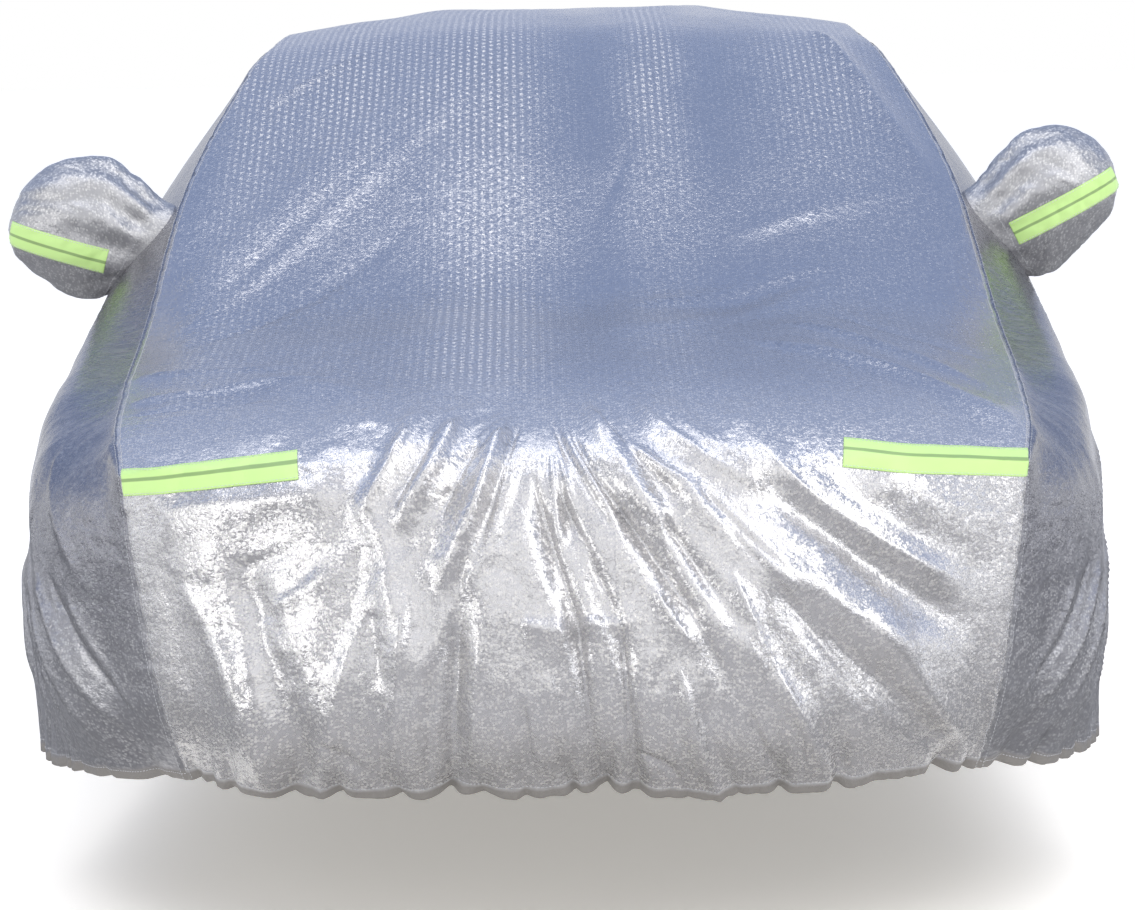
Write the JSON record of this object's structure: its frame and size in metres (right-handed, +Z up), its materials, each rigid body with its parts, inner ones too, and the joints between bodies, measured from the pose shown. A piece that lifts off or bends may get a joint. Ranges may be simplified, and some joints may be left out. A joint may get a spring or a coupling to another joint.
{
  "type": "fitted car cover",
  "caption": "Fitted car cover as worn, hollow, with a gathered elastic hem, sewn side panels, pouches over the door mirrors and reflective strips.",
  "frame": {"origin": "on the underside of the roof cloth, in the middle of the cover, where the car's roof carries it", "axes": "+Z up, -Y towards the nose, +X to the right of someone who faces the nose"},
  "size_m": [2.0855, 4.5065, 1.2218],
  "materials": {
    "silver_cloth": "silver film on a light backing cloth, with fine lengthwise rows of embossed squares that sparkle",
    "side_cloth": "the same silver film, a little plainer",
    "reflective_tape": "yellow-green woven tape with a darker line along its middle"
  },
  "bodies": {
    "root": {"centre_panel": "silver_cloth", "side_panel_left": "side_cloth", "side_panel_right": "side_cloth", "mirror_pocket_left": "silver_cloth", "mirror_pocket_right": "silver_cloth", "strip_hood_left": "reflective_tape", "strip_hood_right": "reflective_tape", "strip_mirror_left": "reflective_tape", "strip_mirror_right": "reflective_tape"}
  },
  "joints": []
}
